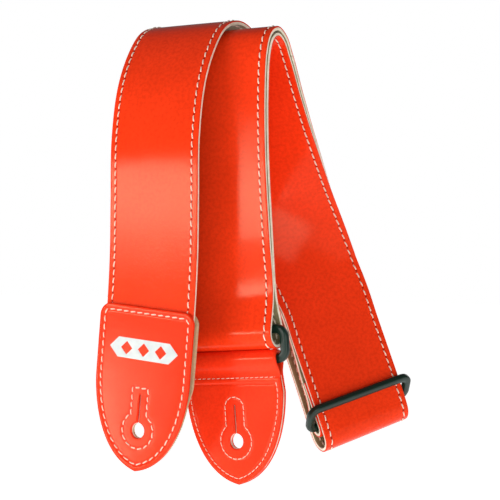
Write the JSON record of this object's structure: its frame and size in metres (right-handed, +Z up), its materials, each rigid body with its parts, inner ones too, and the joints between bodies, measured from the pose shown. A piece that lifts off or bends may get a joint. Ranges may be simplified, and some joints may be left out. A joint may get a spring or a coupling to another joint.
{
  "type": "guitar strap",
  "caption": "Adjustable strap for a guitar or bass, red leatherette over suede, hung over a peg, with sewn end tabs, plastic ring and plastic slider.",
  "frame": {"origin": "on top of the peg the strap hangs from, under the middle of the right loop", "axes": "+Z up, -Y towards the front with the red end tabs, +X to the right"},
  "size_m": [0.1183, 0.1288, 0.2309],
  "materials": {
    "red_face": "gloss-coated",
    "cream_core": "matt",
    "suede_lining": "suede",
    "thread": "matt",
    "bar_plastic": "semi-gloss",
    "tab_leather": "satin",
    "tab_back": "matt",
    "foil": "satin print"
  },
  "bodies": {
    "strap": {"strap_face": "red_face", "strap_core": "cream_core", "strap_lining": "suede_lining", "strap_needle_thread_left": "thread", "strap_needle_thread_right": "thread", "strap_bobbin_thread_left": "thread", "strap_bobbin_thread_right": "thread", "return_face": "red_face", "return_core": "cream_core", "return_lining": "suede_lining", "return_needle_thread_left": "thread", "return_needle_thread_right": "thread", "return_bobbin_thread_left": "thread", "return_bobbin_thread_right": "thread", "tab_a_front": "tab_leather", "tab_a_filler": "cream_core", "tab_a_back": "tab_back", "tab_a_edge_thread": "thread", "tab_a_keyhole_thread": "thread", "tab_a_foil": "foil"},
    "end_loop": {"end_loop_face": "red_face", "end_loop_core": "cream_core", "end_loop_lining": "suede_lining", "end_loop_needle_thread_left": "thread", "end_loop_needle_thread_right": "thread", "end_loop_seam_thread": "thread"},
    "slider": {"slider": "bar_plastic"},
    "ring": {"ring": "bar_plastic"},
    "tab_b": {"tab_b_leather": "tab_leather", "tab_b_filler": "cream_core", "tab_b_edge_thread": "thread", "tab_b_keyhole_thread": "thread"}
  },
  "joints": [
    {"name": "slider_travel", "type": "slide", "parent": "strap", "child": "end_loop", "axis": [-0.2992, -0.1184, 0.9468], "range_m": [0, 0.035], "deforming": ["return_face", "return_core", "return_lining", "return_needle_thread_left", "return_needle_thread_right", "return_bobbin_thread_left", "return_bobbin_thread_right"]},
    {"name": "slider_tilt", "type": "hinge", "parent": "end_loop", "child": "slider", "pos_m": [0.03703, 0.06459, -0.19015], "axis": [0.5673, 0.7758, 0.2762], "range_deg": [0, 35]},
    {"name": "ring_swing", "type": "hinge", "parent": "strap", "child": "ring", "pos_m": [0.00602, -0.013, -0.14441], "axis": [0.9976, 0, 0.0698], "range_deg": [-5, 12]},
    {"name": "tab_b_swing", "type": "hinge", "parent": "ring", "child": "tab_b", "pos_m": [0.00703, -0.013, -0.15877], "axis": [0.9976, 0, 0.0698], "range_deg": [-6, 15]}
  ]
}
